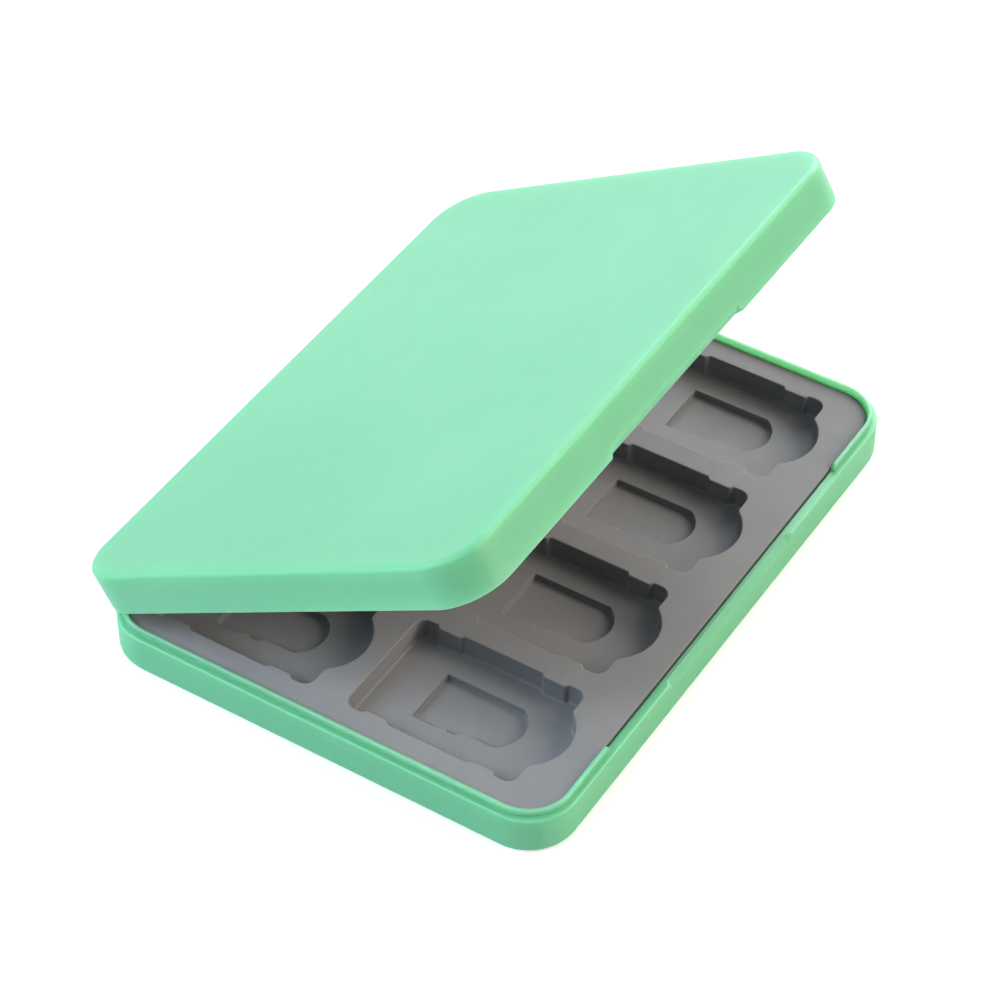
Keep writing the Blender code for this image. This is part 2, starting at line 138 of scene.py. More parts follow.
def fillet(before, corner, after, radius, steps):
    """Points on the arc that rounds one corner of a path."""
    corner = Vector(corner)
    toward_before = (Vector(before) - corner).normalized()
    toward_after = (Vector(after) - corner).normalized()
    half_angle = toward_before.angle(toward_after) / 2
    centre = corner + (toward_before + toward_after).normalized() * (radius / math.sin(half_angle))
    first = corner + toward_before * (radius / math.tan(half_angle)) - centre
    last = corner + toward_after * (radius / math.tan(half_angle)) - centre
    start = math.atan2(first.y, first.x)
    turn = (math.atan2(last.y, last.x) - start + math.pi) % math.tau - math.pi
    points = []
    for step in range(steps + 1):
        angle = start + turn * step / steps
        points.append((centre.x + radius * math.cos(angle), centre.y + radius * math.sin(angle)))
    return points


def rounded_path(start, corners, end, steps):
    """A path from start to end, rounded at each (u, v, radius) corner."""
    places = [start] + [corner[:2] for corner in corners] + [end]
    points = [start]
    for index, (u, v, radius) in enumerate(corners):
        points += fillet(places[index], (u, v), places[index + 2], radius, steps)
    return points + [end]


def beyond(station, start, run):
    """How far a place is past a change in the front wall, from 0 to 1. The
    corners are past every change."""
    return min(max((abs(station[0]) - start) / run, 0.0), 1.0)


def thumb_share(station):
    """How far the thumb grip shapes the wall at a place: 1 in its middle."""
    return 1 - beyond(station, thumb_half - thumb_run, thumb_run)


def lip_share(station):
    """How much of the lip's height stands at a place."""
    rise = beyond(station, lip_gap_half, lip_end_rise)
    return math.sqrt(1 - (1 - rise) ** 2)


def rim_cut(station, grip_depth):
    """How far the rim's outer edge is cut in and back at a place: a little for
    its rounding, and more at the thumb grip."""
    grip = thumb_share(station)
    corner_cut = rim_round * (2 - math.sqrt(2))
    cut_in = corner_cut + (grip_depth - corner_cut) * grip
    cut_back = corner_cut + (scoop_height - corner_cut) * grip
    return cut_in, cut_back


def base_section(station):
    """The base wall's profile at a place, as (inset, z) from below to inside."""
    cut_in, cut_down = rim_cut(station, scoop_depth)
    share = lip_share(station)
    height = lip_height * share
    lip_top = ledge_z + max(height, least_lip)
    corners = [(0.0, 0.0, bottom_round),
               (0.0, ledge_z - cut_down, rim_round),
               (cut_in, ledge_z, rim_inner_round),
               (lip_inset, ledge_z, max(crease_round * share, least_round)),
               (lip_inset, lip_top, max(min(lip_round, height), least_round)),
               (wall, lip_top, lip_inner_round),
               (wall, floor_thickness, inside_round)]
    start = (2 * bottom_round, 0.0)
    end = (wall + 2 * inside_round, floor_thickness)
    return rounded_path(start, corners, end, round_steps)


def wall_mesh(section_at, changes):
    """A shell: its wall skinned all round the plan, between two flat faces."""
    shape = bmesh.new()
    columns = []
    for station in plan_stations(changes):
        column = [shape.verts.new(wall_place(station, inset, z)) for inset, z in section_at(station)]
        columns.append(column)
    for index, column in enumerate(columns):
        following = columns[(index + 1) % len(columns)]
        for row in range(len(column) - 1):
            shape.faces.new((column[row], following[row], following[row + 1], column[row + 1]))
    shape.faces.new([column[0] for column in reversed(columns)])
    shape.faces.new([column[-1] for column in columns])
    bmesh.ops.remove_doubles(shape, verts=shape.verts, dist=merge_reach * MM)
    bmesh.ops.dissolve_degenerate(shape, dist=merge_reach * MM, edges=shape.edges)
    bmesh.ops.recalc_face_normals(shape, faces=shape.faces)
    return shape


def finished(name, shape, material, body, cad_node):
    """An object from a mesh in the frame's place, standing for its CAD node."""
    mesh = bpy.data.meshes.new(name)
    shape.to_mesh(mesh)
    shape.free()
    mesh.shade_smooth()
    mesh.materials.append(material)
    piece = bpy.data.objects.new(name, mesh)
    bpy.context.scene.collection.objects.link(piece)
    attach(piece, body)
    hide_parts(cad_node)
    return piece


def weigh_normals(piece):
    """Keeps flat faces flat beside their rounded edges."""
    piece.data.set_sharp_from_angle(angle=math.radians(sharp_angle))
    even = piece.modifiers.new("even shading", "WEIGHTED_NORMAL")
    even.mode = "FACE_AREA"
    even.weight = flat_face_weight
    even.keep_sharp = True


# The green plastic is polypropylene with a fine spark-eroded grain from its
# mould, faintly see-through at its edges. Its colour and gloss drift a little.

mint = (0.172, 0.602, 0.327)
mint_darkening = 0.965
mint_whitening = 0.012
noise_low = 0.3
noise_high = 0.7


def new_material(name):
    """A material, with its node tree and its shader."""
    material = bpy.data.materials.new(name)
    material.use_nodes = True
    return material, material.node_tree, material.node_tree.nodes["Principled BSDF"]


def link(tree, source, target):
    """Joins an output to an input."""
    tree.links.new(source, target)


def node(tree, kind, **values):
    """A shader node with its settings and unlinked inputs set by name."""
    made = tree.nodes.new(kind)
    for key, value in values.items():
        if key in made.inputs:
            made.inputs[key].default_value = value
        else:
            setattr(made, key, value)
    return made


def noise(tree, place, size, detail, roughness=0.5):
    """Noise whose patches have a size in millimetres."""
    made = node(tree, "ShaderNodeTexNoise", Scale=1 / (size * MM), Detail=detail, Roughness=roughness)
    link(tree, place, made.inputs["Vector"])
    return made.outputs["Fac"]


def spread(tree, share, low, high):
    """Maps the stretch where most of the noise lies to a range."""
    made = node(tree, "ShaderNodeMapRange")
    made.inputs["From Min"].default_value = noise_low
    made.inputs["From Max"].default_value = noise_high
    made.inputs["To Min"].default_value = low
    made.inputs["To Max"].default_value = high
    link(tree, share, made.inputs["Value"])
    return made.outputs["Result"]


def shade(colour, factor):
    """A colour made darker or paler by a factor."""
    return (*(part * factor for part in colour), 1)


def two_tone(tree, share, first, second):
    """Drifts between two colours with the noise."""
    mix = node(tree, "ShaderNodeMix", data_type="RGBA")
    mix.inputs["A"].default_value = first
    mix.inputs["B"].default_value = second
    link(tree, spread(tree, share, low=0.0, high=1.0), mix.inputs["Factor"])
    return mix.outputs["Result"]


def relief(tree, height, strength, depth, under=None):
    """A surface raised by noise to a depth in millimetres, over a finer one."""
    raised = node(tree, "ShaderNodeBump", Strength=strength, Distance=depth * MM)
    link(tree, height, raised.inputs["Height"])
    if under is not None:
        link(tree, under, raised.inputs["Normal"])
    return raised.outputs["Normal"]


def mint_plastic(name):
    """The green plastic, for one shell."""
    material, tree, shader = new_material(name)
    place = node(tree, "ShaderNodeTexCoord").outputs["Object"]

    drift = noise(tree, place, size=38, detail=2)
    darker = shade(mint, mint_darkening)
    paler = (*(part + (1 - part) * mint_whitening for part in mint), 1)
    link(tree, two_tone(tree, drift, darker, paler), shader.inputs["Base Color"])

    gloss = noise(tree, place, size=9, detail=4)
    link(tree, spread(tree, gloss, low=0.36, high=0.44), shader.inputs["Roughness"])

    grain = noise(tree, place, size=0.42, detail=3, roughness=0.6)
    swell = noise(tree, place, size=16, detail=1)
    fine = relief(tree, grain, strength=0.5, depth=0.02)
    slow = relief(tree, swell, strength=0.35, depth=0.05, under=fine)
    link(tree, slow, shader.inputs["Normal"])

    shader.inputs["Specular IOR Level"].default_value = 0.5
    shader.inputs["IOR"].default_value = 1.49
    shader.inputs["Subsurface Weight"].default_value = 1.0
    shader.inputs["Subsurface Radius"].default_value = (0.8, 1.0, 0.7)
    shader.inputs["Subsurface Scale"].default_value = 5.0 * MM
    return material


thumb_change = (thumb_half - thumb_run, thumb_run)
base_shape = wall_mesh(base_section, (thumb_change, (lip_gap_half, lip_end_rise)))
base_shell = finished("base_shell_moulding", base_shape, mint_plastic("mint_plastic_base"),
                      "base", "base_shell")

# Lid shell
# The same plastic, moulded as a shallow cover. Its rim is thinned inside to
# close over the base's lip, and stays full beside the lip's gap in front,
# where it has a thumb grip like the base's.

hinge = frame["joints"][0]
hinge_line = Vector(hinge["pos_m"])
open_angle = -math.radians(hinge["range_deg"][0])

lid_rim_z = 8.1
lid_top_z = 16.5
lid_inside_z = 15.0
lid_top_round = 1.0
lid_scoop_depth = 1.25
rebate_inset = 0.9
rebate_z = 9.6
rebate_gap_half = 37.7
rebate_run = 0.6
rebate_inner_round = 0.1
rebate_edge_round = 0.2
least_rebate = 0.004


def lid_section(station):
    """The lid wall's profile at a place, from its top to its inside."""
    cut_in, cut_up = rim_cut(station, lid_scoop_depth)
    thinned = max(beyond(station, rebate_gap_half, rebate_run), least_rebate)
    inner = wall + (rebate_inset - wall) * thinned
    corners = [(0.0, lid_top_z, lid_top_round),
               (0.0, lid_rim_z + cut_up, rim_round),
               (cut_in, lid_rim_z, rim_inner_round),
               (inner, lid_rim_z, lip_round),
               (inner, rebate_z, rebate_inner_round * thinned),
               (wall, rebate_z, rebate_edge_round * thinned),
               (wall, lid_inside_z, inside_round)]
    start = (2 * lid_top_round, lid_top_z)
    end = (wall + 2 * inside_round, lid_inside_z)
    return rounded_path(start, corners, end, round_steps)


def open_lid(shape):
    """Turns a mesh from the closed lid to the lid's place."""
    turn = Matrix.Rotation(-open_angle, 4, "X")
    about = Matrix.Translation(hinge_line) @ turn @ Matrix.Translation(-hinge_line)
    bmesh.ops.transform(shape, matrix=about, verts=shape.verts)


lid_shape = wall_mesh(lid_section, (thumb_change, (rebate_gap_half, rebate_run)))
open_lid(lid_shape)
lid_shell = finished("lid_shell_moulding", lid_shape, mint_plastic("mint_plastic_lid"),
                     "lid", "lid_shell")

# Hinge knuckles
# Each shell's share of the two hinges is moulded in one with it: a round
# barrel with a web to the back wall. The base has the outer knuckles and the
# lid the middle one, and a pin runs through all three.

knuckle_radius = 1.4
bore_radius = 0.68
side_knuckle = 6.0
middle_knuckle = 12.0
knuckle_gap = 0.3
knuckle_ease = 0.2
hinge_middles = (-30.0, 30.0)
web_top = 0.45
web_angle = 65
seat_depth = 0.5
bore_overrun = 2.0
axis_y = hinge_line.y / MM
axis_z = hinge_line.z / MM
hinge_length = 2 * side_knuckle + middle_knuckle + 2 * knuckle_gap

below = -1
above = 1
barrel_steps = 36
bore_sides = 40
ease_bend = 0.3


def knuckle_outline(side, inset):
    """Barrel and web as (y, z), with the web below or above the hinge line."""
    radius = knuckle_radius - inset
    reach = axis_y - half_depth + seat_depth
    level = web_top + inset
    first = -math.asin(level / radius)
    last = math.radians(180 + web_angle)
    points = [(reach, -level)]
    for step in range(barrel_steps + 1):
        angle = first + (last - first) * step / barrel_steps
        points.append((radius * math.cos(angle), radius * math.sin(angle)))
    run = (reach - radius * math.cos(last)) / -math.sin(last)
    points.append((reach, radius * math.sin(last) + run * math.cos(last)))
    return [(axis_y - across, axis_z - side * up) for across, up in points]


def eased_ends(low, high, ease):
    """Places along a piece, each with how far its outline is drawn in there."""
    bend = ease * ease_bend
    return [(low, ease), (low + bend, bend), (low + ease, 0.0),
            (high - ease, 0.0), (high - bend, bend), (high, ease)]


def skin(shape, rings):
    """Faces between each ring of points and the next."""
    for ring, following in zip(rings, rings[1:]):
        for index in range(len(ring)):
            after = (index + 1) % len(ring)
            shape.faces.new((ring[index], ring[after], following[after], following[index]))


def knuckle(shape, side, low, high):
    """One knuckle between two places on X, its edges eased."""
    rings = []
    for x, inset in eased_ends(low, high, knuckle_ease):
        outline = knuckle_outline(side, inset)
        rings.append([shape.verts.new(Vector((x, y, z)) * MM) for y, z in outline])
    skin(shape, rings)
    shape.faces.new(rings[0])
    shape.faces.new(rings[-1][::-1])


def rod(shape, radius, low, high, sides):
    """A round rod between two points, in millimetres."""
    run = Vector(high) - Vector(low)
    turn = Vector((0, 0, 1)).rotation_difference(run).to_matrix().to_4x4()
    place = Matrix.Translation((Vector(low) + Vector(high)) / 2 * MM) @ turn
    bmesh.ops.create_cone(shape, cap_ends=True, segments=sides, radius1=radius * MM, radius2=radius * MM,
                          depth=run.length * MM, matrix=place)


def mould_in(piece, shape, operation):
    """Joins a solid to a piece's mesh, or cuts it out, for good."""
    bmesh.ops.recalc_face_normals(shape, faces=shape.faces)
    mesh = bpy.data.meshes.new("tool")
    shape.to_mesh(mesh)
    shape.free()
    tool = bpy.data.objects.new("tool", mesh)
    bpy.context.scene.collection.objects.link(tool)
    cut = piece.modifiers.new("cut", "BOOLEAN")
    cut.operation = operation
    cut.solver = "EXACT"
    cut.object = tool
    bpy.context.view_layer.update()
    result = bpy.data.meshes.new_from_object(piece.evaluated_get(bpy.context.evaluated_depsgraph_get()))
    result.name = piece.data.name
    piece.modifiers.clear()
    piece.data = result
    bpy.data.objects.remove(tool)
    bpy.data.meshes.remove(mesh)


base_knuckles = bmesh.new()
lid_knuckles = bmesh.new()
base_bores = bmesh.new()
lid_bores = bmesh.new()
for middle in hinge_middles:
    start = middle - hinge_length / 2
    end = middle + hinge_length / 2
    knuckle(base_knuckles, below, start, start + side_knuckle)
    knuckle(base_knuckles, below, end - side_knuckle, end)
    inner = start + side_knuckle + knuckle_gap
    knuckle(lid_knuckles, above, inner, inner + middle_knuckle)
    for bores in (base_bores, lid_bores):
        bore_start = (start - bore_overrun, axis_y, axis_z)
        bore_end = (end + bore_overrun, axis_y, axis_z)
        rod(bores, bore_radius, bore_start, bore_end, bore_sides)
open_lid(lid_knuckles)
mould_in(base_shell, base_knuckles, "UNION")
mould_in(base_shell, base_bores, "DIFFERENCE")
mould_in(lid_shell, lid_knuckles, "UNION")
mould_in(lid_shell, lid_bores, "DIFFERENCE")

# Magnet posts
# Two round posts in each shell, moulded in one with it under the front margin
# of the tray. Each has a blind hole in its end that a magnet is pressed into.

post_radius = 2.8
post_x = 28.0
tray_gap = 0.25
tray_front_margin = 8.55
post_y = -half_depth + wall + tray_gap + tray_front_margin / 2
base_post_top = 7.15
lid_post_low = 10.5
post_sides = 48

magnet_radius = 2.0
magnet_height = 2.0
magnet_clearance = 0.15
socket_radius = magnet_radius + magnet_clearance
socket_depth = magnet_height + 2 * magnet_clearance
socket_overrun = 1.0


def upright_pair(radius, low, high):
    """Two upright rods at the posts' places, between two heights."""
    shape = bmesh.new()
    for x in (-post_x, post_x):
        rod(shape, radius, (x, post_y, low), (x, post_y, high), post_sides)
    return shape


base_posts = upright_pair(post_radius, floor_thickness - seat_depth, base_post_top)
base_sockets = upright_pair(socket_radius, base_post_top - socket_depth, base_post_top + socket_overrun)
lid_posts = upright_pair(post_radius, lid_post_low, lid_inside_z + seat_depth)
lid_sockets = upright_pair(socket_radius, lid_post_low - socket_overrun, lid_post_low + socket_depth)
open_lid(lid_posts)
open_lid(lid_sockets)
mould_in(base_shell, base_posts, "UNION")
mould_in(base_shell, base_sockets, "DIFFERENCE")
mould_in(lid_shell, lid_posts, "UNION")
mould_in(lid_shell, lid_sockets, "DIFFERENCE")
weigh_normals(base_shell)
weigh_normals(lid_shell)

# Trays
# Soft silicone mats, cast in one piece and dropped into the shells. Each has
# eight pockets with grip ribs and a fingertip arc, and a stepped recess for a
# memory chip in each floor. All their edges are soft.

# The mat, and its holes over the magnet posts
tray_inset = wall + tray_gap
tray_edge_round = 0.18
base_tray_top = 8.25
base_tray_under = 1.75
lid_tray_face = 9.4
lid_tray_back = 14.75
post_hole_radius = 3.1
post_hole_clearance = 0.3
post_hole_round = 0.1

# One card pocket, and where the eight of them lie
base_pocket_depth = 4.2
lid_pocket_depth = 3.6
pocket_length = 33.1
pocket_half = 11.7
rib_height = 0.7
rib_length = 5.1
rib_slope = 0.45
rib_round = 0.6
ear_length = 3.6
ear_round = 2.0
finger_half = 6.9
finger_reach = 3.45
finger_blend = 1.0
pocket_middles = (-42.0, -14.0, 14.0, 42.0)
pocket_backs = (38.6, -1.6)
pocket_rim_round = 0.22
pocket_floor_round = 0.45
ear_steps = 7
blend_steps = 6
finger_steps = 13

# The chip recess in a pocket's floor
base_chip_depth = 1.35
lid_chip_depth = 1.1
chip_start = 8.9
chip_length = 15.2
chip_far = 6.3
chip_near = 4.9
chip_neck = 3.6
chip_thumb = 2.9
chip_corner_round = 0.35
chip_edge_round = 0.12
chip_thumb_steps = 24

# The recess's near side: a neck in front that slopes out, then a small nub
neck_end = 18.4
slope_end = 17.3
slope_inset = 0.2
nub_foot_front = 15.8
nub_foot_inset = 0.15
nub_top_front = 15.5
nub_top_back = 14.5
nub_foot_back = 13.9
nub_height = 0.65

most_stretch = 2.0
tray_merge_reach = 0.0005


def pocket_outline():
    """A pocket's plan about the middle of its hinge end, as (x, y)."""
    rib = pocket_half - rib_height
    right = [(pocket_half, 0.0, ear_round)]
    for near in (-ear_length, -pocket_length + ear_length + rib_length):
        far = near - rib_length
        right += [(pocket_half, near, rib_round), (rib, near - rib_slope, rib_round),
                  (rib, far + rib_slope, rib_round), (pocket_half, far, rib_round)]
    right.append((pocket_half, -pocket_length, ear_round))
    middle_back = (0.0, 0.0)
    middle_front = (0.0, -pocket_length)
    side = rounded_path(middle_back, right, middle_front, ear_steps)[1:-1]

    radius = (finger_half ** 2 + finger_reach ** 2) / (2 * finger_reach)
    circle_y = -pocket_length - finger_reach + radius
    blend_y = -pocket_length - finger_blend
    blend_x = math.sqrt((radius + finger_blend) ** 2 - (circle_y - blend_y) ** 2)
    meet = math.atan2(circle_y - blend_y, blend_x)
    arc_points = []
    for step in range(blend_steps + 1):
        angle = math.pi / 2 + (math.pi / 2 - meet) * step / blend_steps
        x = blend_x + finger_blend * math.cos(angle)
        y = blend_y + finger_blend * math.sin(angle)
        arc_points.append((x, y))
    for step in range(1, finger_steps + 1):
        angle = -meet - (math.pi / 2 - meet) * step / finger_steps
        arc_points.append((radius * math.cos(angle), circle_y + radius * math.sin(angle)))
    right_side = side + arc_points
    left_side = [(-x, y) for x, y in reversed(right_side[:-1])]
    return right_side + left_side


def chip_outline():
    """A chip recess's plan in the same place: square behind, round in front."""
    end = chip_start + chip_length
    corners = [(-chip_near, -chip_start, chip_corner_round), (chip_far, -chip_start, chip_corner_round)]
    outline = rounded_path((-chip_near, -end), corners, (chip_far, -end), round_steps)[1:-1]

    wide = (chip_far + chip_neck) / 2
    middle = (chip_far - chip_neck) / 2
    radius = (wide ** 2 + chip_thumb ** 2) / (2 * chip_thumb)
    sweep = math.asin(wide / radius)
    for step in range(chip_thumb_steps + 1):
        angle = sweep - 2 * sweep * step / chip_thumb_steps
        x = middle + radius * math.sin(angle)
        y = -end - chip_thumb + radius - radius * math.cos(angle)
        outline.append((x, y))

    near_side = [(-chip_neck, -neck_end, 0.6),
                 (-chip_near + slope_inset, -slope_end, 0.35),
                 (-chip_near + nub_foot_inset, -nub_foot_front, 0.25),
                 (-chip_near + nub_height, -nub_top_front, 0.2),
                 (-chip_near + nub_height, -nub_top_back, 0.3),
                 (-chip_near, -nub_foot_back, 0.3)]
    outline += rounded_path((-chip_neck, -end), near_side, (-chip_near, -chip_start), round_steps)[1:-1]
    return outline


def grown(outline, reach):
    """An outline moved outward, square to itself, by a small reach. The reach
    grows at its sharp points, to double at most."""
    points = []
    count = len(outline)
    for index, (x, y) in enumerate(outline):
        before = Vector(outline[index - 1])
        after = Vector(outline[(index + 1) % count])
        here = Vector((x, y))
        first = (here - before).normalized()
        second = (after - here).normalized()
        way = Vector((first.y + second.y, -first.x - second.x)).normalized()
        squareness = max(way.dot(Vector((first.y, -first.x))), 1 / most_stretch)
        points.append((x + way.x * reach / squareness, y + way.y * reach / squareness))
    return points


def signed_area(outline):
    """Twice the area of an outline, positive when it runs anticlockwise."""
    return sum(x1 * y2 - x2 * y1 for (x1, y1), (x2, y2) in zip(outline, outline[1:] + outline[:1]))


def quarter_round(radius):
    """A rounded edge as points, each with its way outward and its way down."""
    points = []
    for step in range(round_steps + 1):
        angle = math.pi / 2 * step / round_steps
        points.append((radius * (1 - math.sin(angle)), radius * (1 - math.cos(angle))))
    return points


def well(shape, outline, face_z, down, depth, rim, foot):
    """The wall of a hollow from its rounded rim to its rounded floor. It
    returns the rim ring and the floor ring."""
    if signed_area(outline) < 0:
        outline = outline[::-1]
    levels = quarter_round(rim)
    levels += [(-sunk, depth - out) for out, sunk in quarter_round(foot)]
    rings = []
    for reach, sunk in levels:
        z = face_z + down * sunk
        rings.append([shape.verts.new(Vector((x, y, z)) * MM) for x, y in grown(outline, reach)])
    skin(shape, rings)
    return rings[0], rings[-1]


def ring_edges(shape, ring):
    """The edges of a ring of points, made where they are missing."""
    edges = []
    for index, point in enumerate(ring):
        pair = (point, ring[(index + 1) % len(ring)])
        edges.append(shape.edges.get(pair) or shape.edges.new(pair))
    return edges


def flat(shape, *rings):
    """A flat face inside its first ring and outside the others."""
    edges = [edge for ring in rings for edge in ring_edges(shape, ring)]
    bmesh.ops.triangle_fill(shape, use_beauty=True, use_dissolve=False, edges=edges)


def moved(outline, x, y):
    """An outline in its place on the tray."""
    return [(px + x, py + y) for px, py in outline]


def post_hole_outline(x):
    """The plan of the hole round one magnet post."""
    outline = []
    for step in range(post_sides):
        angle = math.tau * step / post_sides
        outline.append((x + post_hole_radius * math.cos(angle), post_y + post_hole_radius * math.sin(angle)))
    return outline


def tray_edge(shape, face_z, back_z, down):
    """The tray's outer side. It returns the rings at its face and its back."""
    rounding = quarter_round(tray_edge_round)
    levels = [(tray_inset + out, face_z + down * sunk) for out, sunk in rounding]
    levels += [(tray_inset + sunk, back_z - down * out) for out, sunk in rounding]
    rings = []
    for inset, z in levels:
        rings.append([shape.verts.new(wall_place(station, inset, z)) for station in corner_stations()])
    skin(shape, rings)
    return rings[0], rings[-1]


def tray_mesh(face_z, back_z, pocket_depth, chip_depth, post_end):
    """A whole tray in the closed case's place."""
    shape = bmesh.new()
    down = 1 if back_z > face_z else -1
    face_ring, back_ring = tray_edge(shape, face_z, back_z, down)
    floor_z = face_z + down * pocket_depth
    pocket_rims = []
    for back_y in pocket_backs:
        for middle_x in pocket_middles:
            pocket = moved(pocket_outline(), middle_x, back_y)
            rim, floor = well(shape, pocket, face_z, down, pocket_depth, pocket_rim_round, pocket_floor_round)
            pocket_rims.append(rim)
            chip = moved(chip_outline(), middle_x, back_y)
            chip_rim, chip_floor = well(shape, chip, floor_z, down, chip_depth,
                                        chip_edge_round, chip_edge_round)
            flat(shape, floor, chip_rim)
            flat(shape, chip_floor)
    flat(shape, face_ring, *pocket_rims)
    post_hole_depth = abs(back_z - post_end) + post_hole_clearance
    post_rims = []
    for x in (-post_x, post_x):
        rim, ceiling = well(shape, post_hole_outline(x), back_z, -down, post_hole_depth,
                            post_hole_round, post_hole_round)
        post_rims.append(rim)
        flat(shape, ceiling)
    flat(shape, back_ring, *post_rims)
    bmesh.ops.remove_doubles(shape, verts=shape.verts, dist=tray_merge_reach * MM)
    bmesh.ops.recalc_face_normals(shape, faces=shape.faces)
    return shape


# The silicone is matte with a dull skin. Its flat faces have a dusty bloom that
# drifts in tone, and its upright walls are painted darker, a painted shade.

grey = (0.300, 0.309, 0.325)
grey_darker = 0.93
grey_paler = 1.05
grey_painted_wall_shade = 0.78


def grey_silicone(name):
    """The grey silicone, for one tray."""
    material, tree, shader = new_material(name)
    where = node(tree, "ShaderNodeTexCoord")
    place = where.outputs["Object"]

    bloom = noise(tree, place, size=14, detail=5, roughness=0.6)
    dusty = two_tone(tree, bloom, shade(grey, grey_darker), shade(grey, grey_paler))
    # Painted shade: the more upright a face stands, the more it takes a flat darker grey in place of the
    # dusty tone.
    facing = node(tree, "ShaderNodeSeparateXYZ")
    link(tree, where.outputs["Normal"], facing.inputs["Vector"])
    flatness = node(tree, "ShaderNodeMath", operation="ABSOLUTE")
    link(tree, facing.outputs["Z"], flatness.inputs[0])
    painted_wall_shade = node(tree, "ShaderNodeMix", data_type="RGBA")
    painted_wall_shade.inputs["A"].default_value = shade(grey, grey_painted_wall_shade)
    link(tree, flatness.outputs["Value"], painted_wall_shade.inputs["Factor"])
    link(tree, dusty, painted_wall_shade.inputs["B"])
    link(tree, painted_wall_shade.outputs["Result"], shader.inputs["Base Color"])

    dull = noise(tree, place, size=5, detail=3)
    link(tree, spread(tree, dull, low=0.58, high=0.7), shader.inputs["Roughness"])

    skin_grain = noise(tree, place, size=0.5, detail=3, roughness=0.65)
    ripple = noise(tree, place, size=7, detail=2)
    fine = relief(tree, skin_grain, strength=0.5, depth=0.018)
    slow = relief(tree, ripple, strength=0.4, depth=0.06, under=fine)
    link(tree, slow, shader.inputs["Normal"])

    shader.inputs["IOR"].default_value = 1.41
    shader.inputs["Specular IOR Level"].default_value = 0.15
    shader.inputs["Sheen Weight"].default_value = 0.08
    shader.inputs["Sheen Roughness"].default_value = 0.5
    return material


base_tray_shape = tray_mesh(base_tray_top, base_tray_under, base_pocket_depth, base_chip_depth, base_post_top)
base_tray = finished("base_tray_silicone", base_tray_shape, grey_silicone("grey_silicone_base"),
                     "base", "base_tray")
weigh_normals(base_tray)
lid_tray_shape = tray_mesh(lid_tray_face, lid_tray_back, lid_pocket_depth, lid_chip_depth, lid_post_low)
open_lid(lid_tray_shape)
lid_tray = finished("lid_tray_silicone", lid_tray_shape, grey_silicone("grey_silicone_lid"),
                    "lid", "lid_tray")
weigh_normals(lid_tray)

# Hinge pins and magnets
# The pins are cut from drawn steel wire and pressed through the base's
# knuckles. The magnets are nickel-plated discs, pressed into their posts. All
# have eased ends.

pin_radius = 0.6
pin_end = 0.4
pin_ease = 0.12
pin_reach = hinge_length / 2 - pin_end
magnet_ease = 0.15
turned_sides = 48

steel = (0.56, 0.56, 0.57)
nickel = (0.66, 0.64, 0.60)
mark_darkening = 0.86
mark_roughening = 0.14


def turned_metal(name, colour, roughness, scratch_way):
    """Bare metal with fine marks stretched along one axis."""
    material, tree, shader = new_material(name)
    shader.inputs["Metallic"].default_value = 1.0
    place = node(tree, "ShaderNodeTexCoord").outputs["Object"]
    stretch = node(tree, "ShaderNodeVectorMath", operation="MULTIPLY")
    link(tree, place, stretch.inputs[0])
    stretch.inputs[1].default_value = scratch_way
    marks = noise(tree, stretch.outputs["Vector"], size=0.25, detail=4)
    tint = two_tone(tree, marks, shade(colour, mark_darkening), (*colour, 1))
    link(tree, tint, shader.inputs["Base Color"])
    link(tree, spread(tree, marks, roughness, roughness + mark_roughening), shader.inputs["Roughness"])
    link(tree, relief(tree, marks, strength=0.4, depth=0.01), shader.inputs["Normal"])
    return material


def turned_piece(name, low, high, radius, ease, material, body, cad_node):
    """A round piece between two points, its two edges eased."""
    shape = bmesh.new()
    run = Vector(high) - Vector(low)
    way = run.normalized()
    side = way.orthogonal().normalized()
    other = way.cross(side)
    rings = []
    for along, inset in eased_ends(0.0, run.length, ease):
        ring = []
        for step in range(turned_sides):
            angle = math.tau * step / turned_sides
            spoke = side * math.cos(angle) + other * math.sin(angle)
            place = Vector(low) + way * along + spoke * (radius - inset)
            ring.append(shape.verts.new(place * MM))
        rings.append(ring)
    skin(shape, rings)
    shape.faces.new(rings[0][::-1])
    shape.faces.new(rings[-1])
    bmesh.ops.recalc_face_normals(shape, faces=shape.faces)
    if body == "lid":
        open_lid(shape)
    piece = finished(name, shape, material, body, cad_node)
    weigh_normals(piece)


def disc_magnet(body, side, x, low):
    """One magnet, standing in its post."""
    turned_piece(body + "_disc_magnet_" + side, (x, post_y, low), (x, post_y, low + magnet_height),
                 magnet_radius, magnet_ease, magnet_nickel, body, body + "_magnet_" + side)


pin_steel = turned_metal("drawn_steel", steel, roughness=0.24, scratch_way=(0.05, 1.0, 1.0))
magnet_nickel = turned_metal("nickel_plate", nickel, roughness=0.16, scratch_way=(1.0, 1.0, 1.0))
for side, middle in zip(("left", "right"), hinge_middles):
    low = (middle - pin_reach, axis_y, axis_z)
    high = (middle + pin_reach, axis_y, axis_z)
    turned_piece("steel_pin_" + side, low, high, pin_radius, pin_ease,
                 pin_steel, "base", "hinge_pin_" + side)
for side, x in (("left", -post_x), ("right", post_x)):
    disc_magnet("base", side, x, base_post_top - magnet_clearance - magnet_height)
    disc_magnet("lid", side, x, lid_post_low + magnet_clearance)

# Table
# A plain white sheet under the case, wide enough to fill the view. It shows
# white to the camera and still takes the case's soft shadow.

table_half = 6.0
table_drop = 0.0002

table = bpy.data.meshes.new("table")
table_corners = [(-table_half, -table_half, 0), (table_half, -table_half, 0),
                 (table_half, table_half, 0), (-table_half, table_half, 0)]
table.from_pydata(table_corners, [], [(0, 1, 2, 3)])
table_top = bpy.data.objects.new("table", table)
table_top.location.z = -table_drop
bpy.context.scene.collection.objects.link(table_top)

